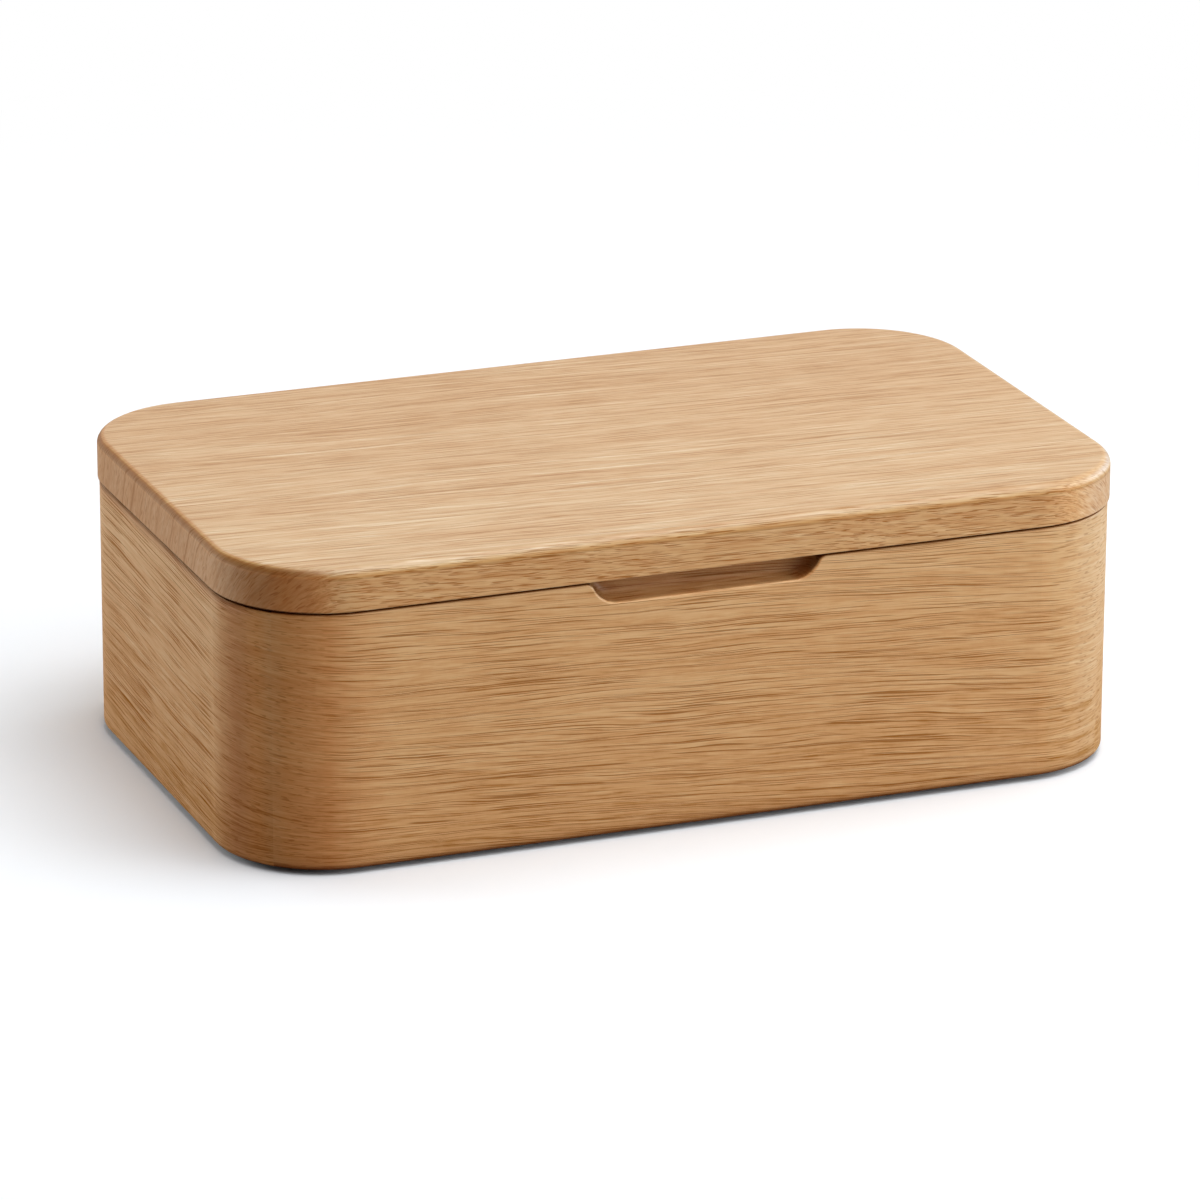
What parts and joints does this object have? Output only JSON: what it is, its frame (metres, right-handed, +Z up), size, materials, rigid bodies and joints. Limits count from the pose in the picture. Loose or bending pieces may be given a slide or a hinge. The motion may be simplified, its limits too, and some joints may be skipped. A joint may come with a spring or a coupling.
{
  "type": "decorative box",
  "caption": "Solid oak keepsake box with large round corners, a hinged lid that stands open past upright, and a finger recess in the front wall.",
  "frame": {"origin": "on the table, under the middle of the closed lid", "axes": "+X to the right as seen from the front, +Y to the back where the hinges are, +Z up"},
  "size_m": [0.3, 0.1824, 0.0995],
  "materials": {
    "oak": "oiled, satin",
    "brass": "brushed, lacquered",
    "steel": "zinc-plated",
    "felt": "pressed wool felt"
  },
  "bodies": {
    "base": {"front_wall": "oak", "rear_wall": "oak", "left_wall": "oak", "right_wall": "oak", "corner_spline_front_left": "oak", "corner_spline_front_right": "oak", "corner_spline_rear_left": "oak", "corner_spline_rear_right": "oak", "bottom_panel": "oak", "bottom_screws": "steel", "foot_pad_front_left": "felt", "foot_pad_front_right": "felt", "foot_pad_rear_left": "felt", "foot_pad_rear_right": "felt", "rim_dots": "felt", "left_hinge_base_leaf": "brass", "right_hinge_base_leaf": "brass", "left_hinge_pin": "brass", "right_hinge_pin": "brass", "base_leaf_screws": "brass"},
    "lid": {"lid_panel": "oak", "left_hinge_lid_leaf": "brass", "right_hinge_lid_leaf": "brass", "lid_leaf_screws": "brass"}
  },
  "joints": [
    {"name": "lid_hinge", "type": "hinge", "parent": "base", "child": "lid", "pos_m": [0, 0.0902, 0.0852], "axis": [-1, 0, 0], "range_deg": [0, 95]}
  ]
}
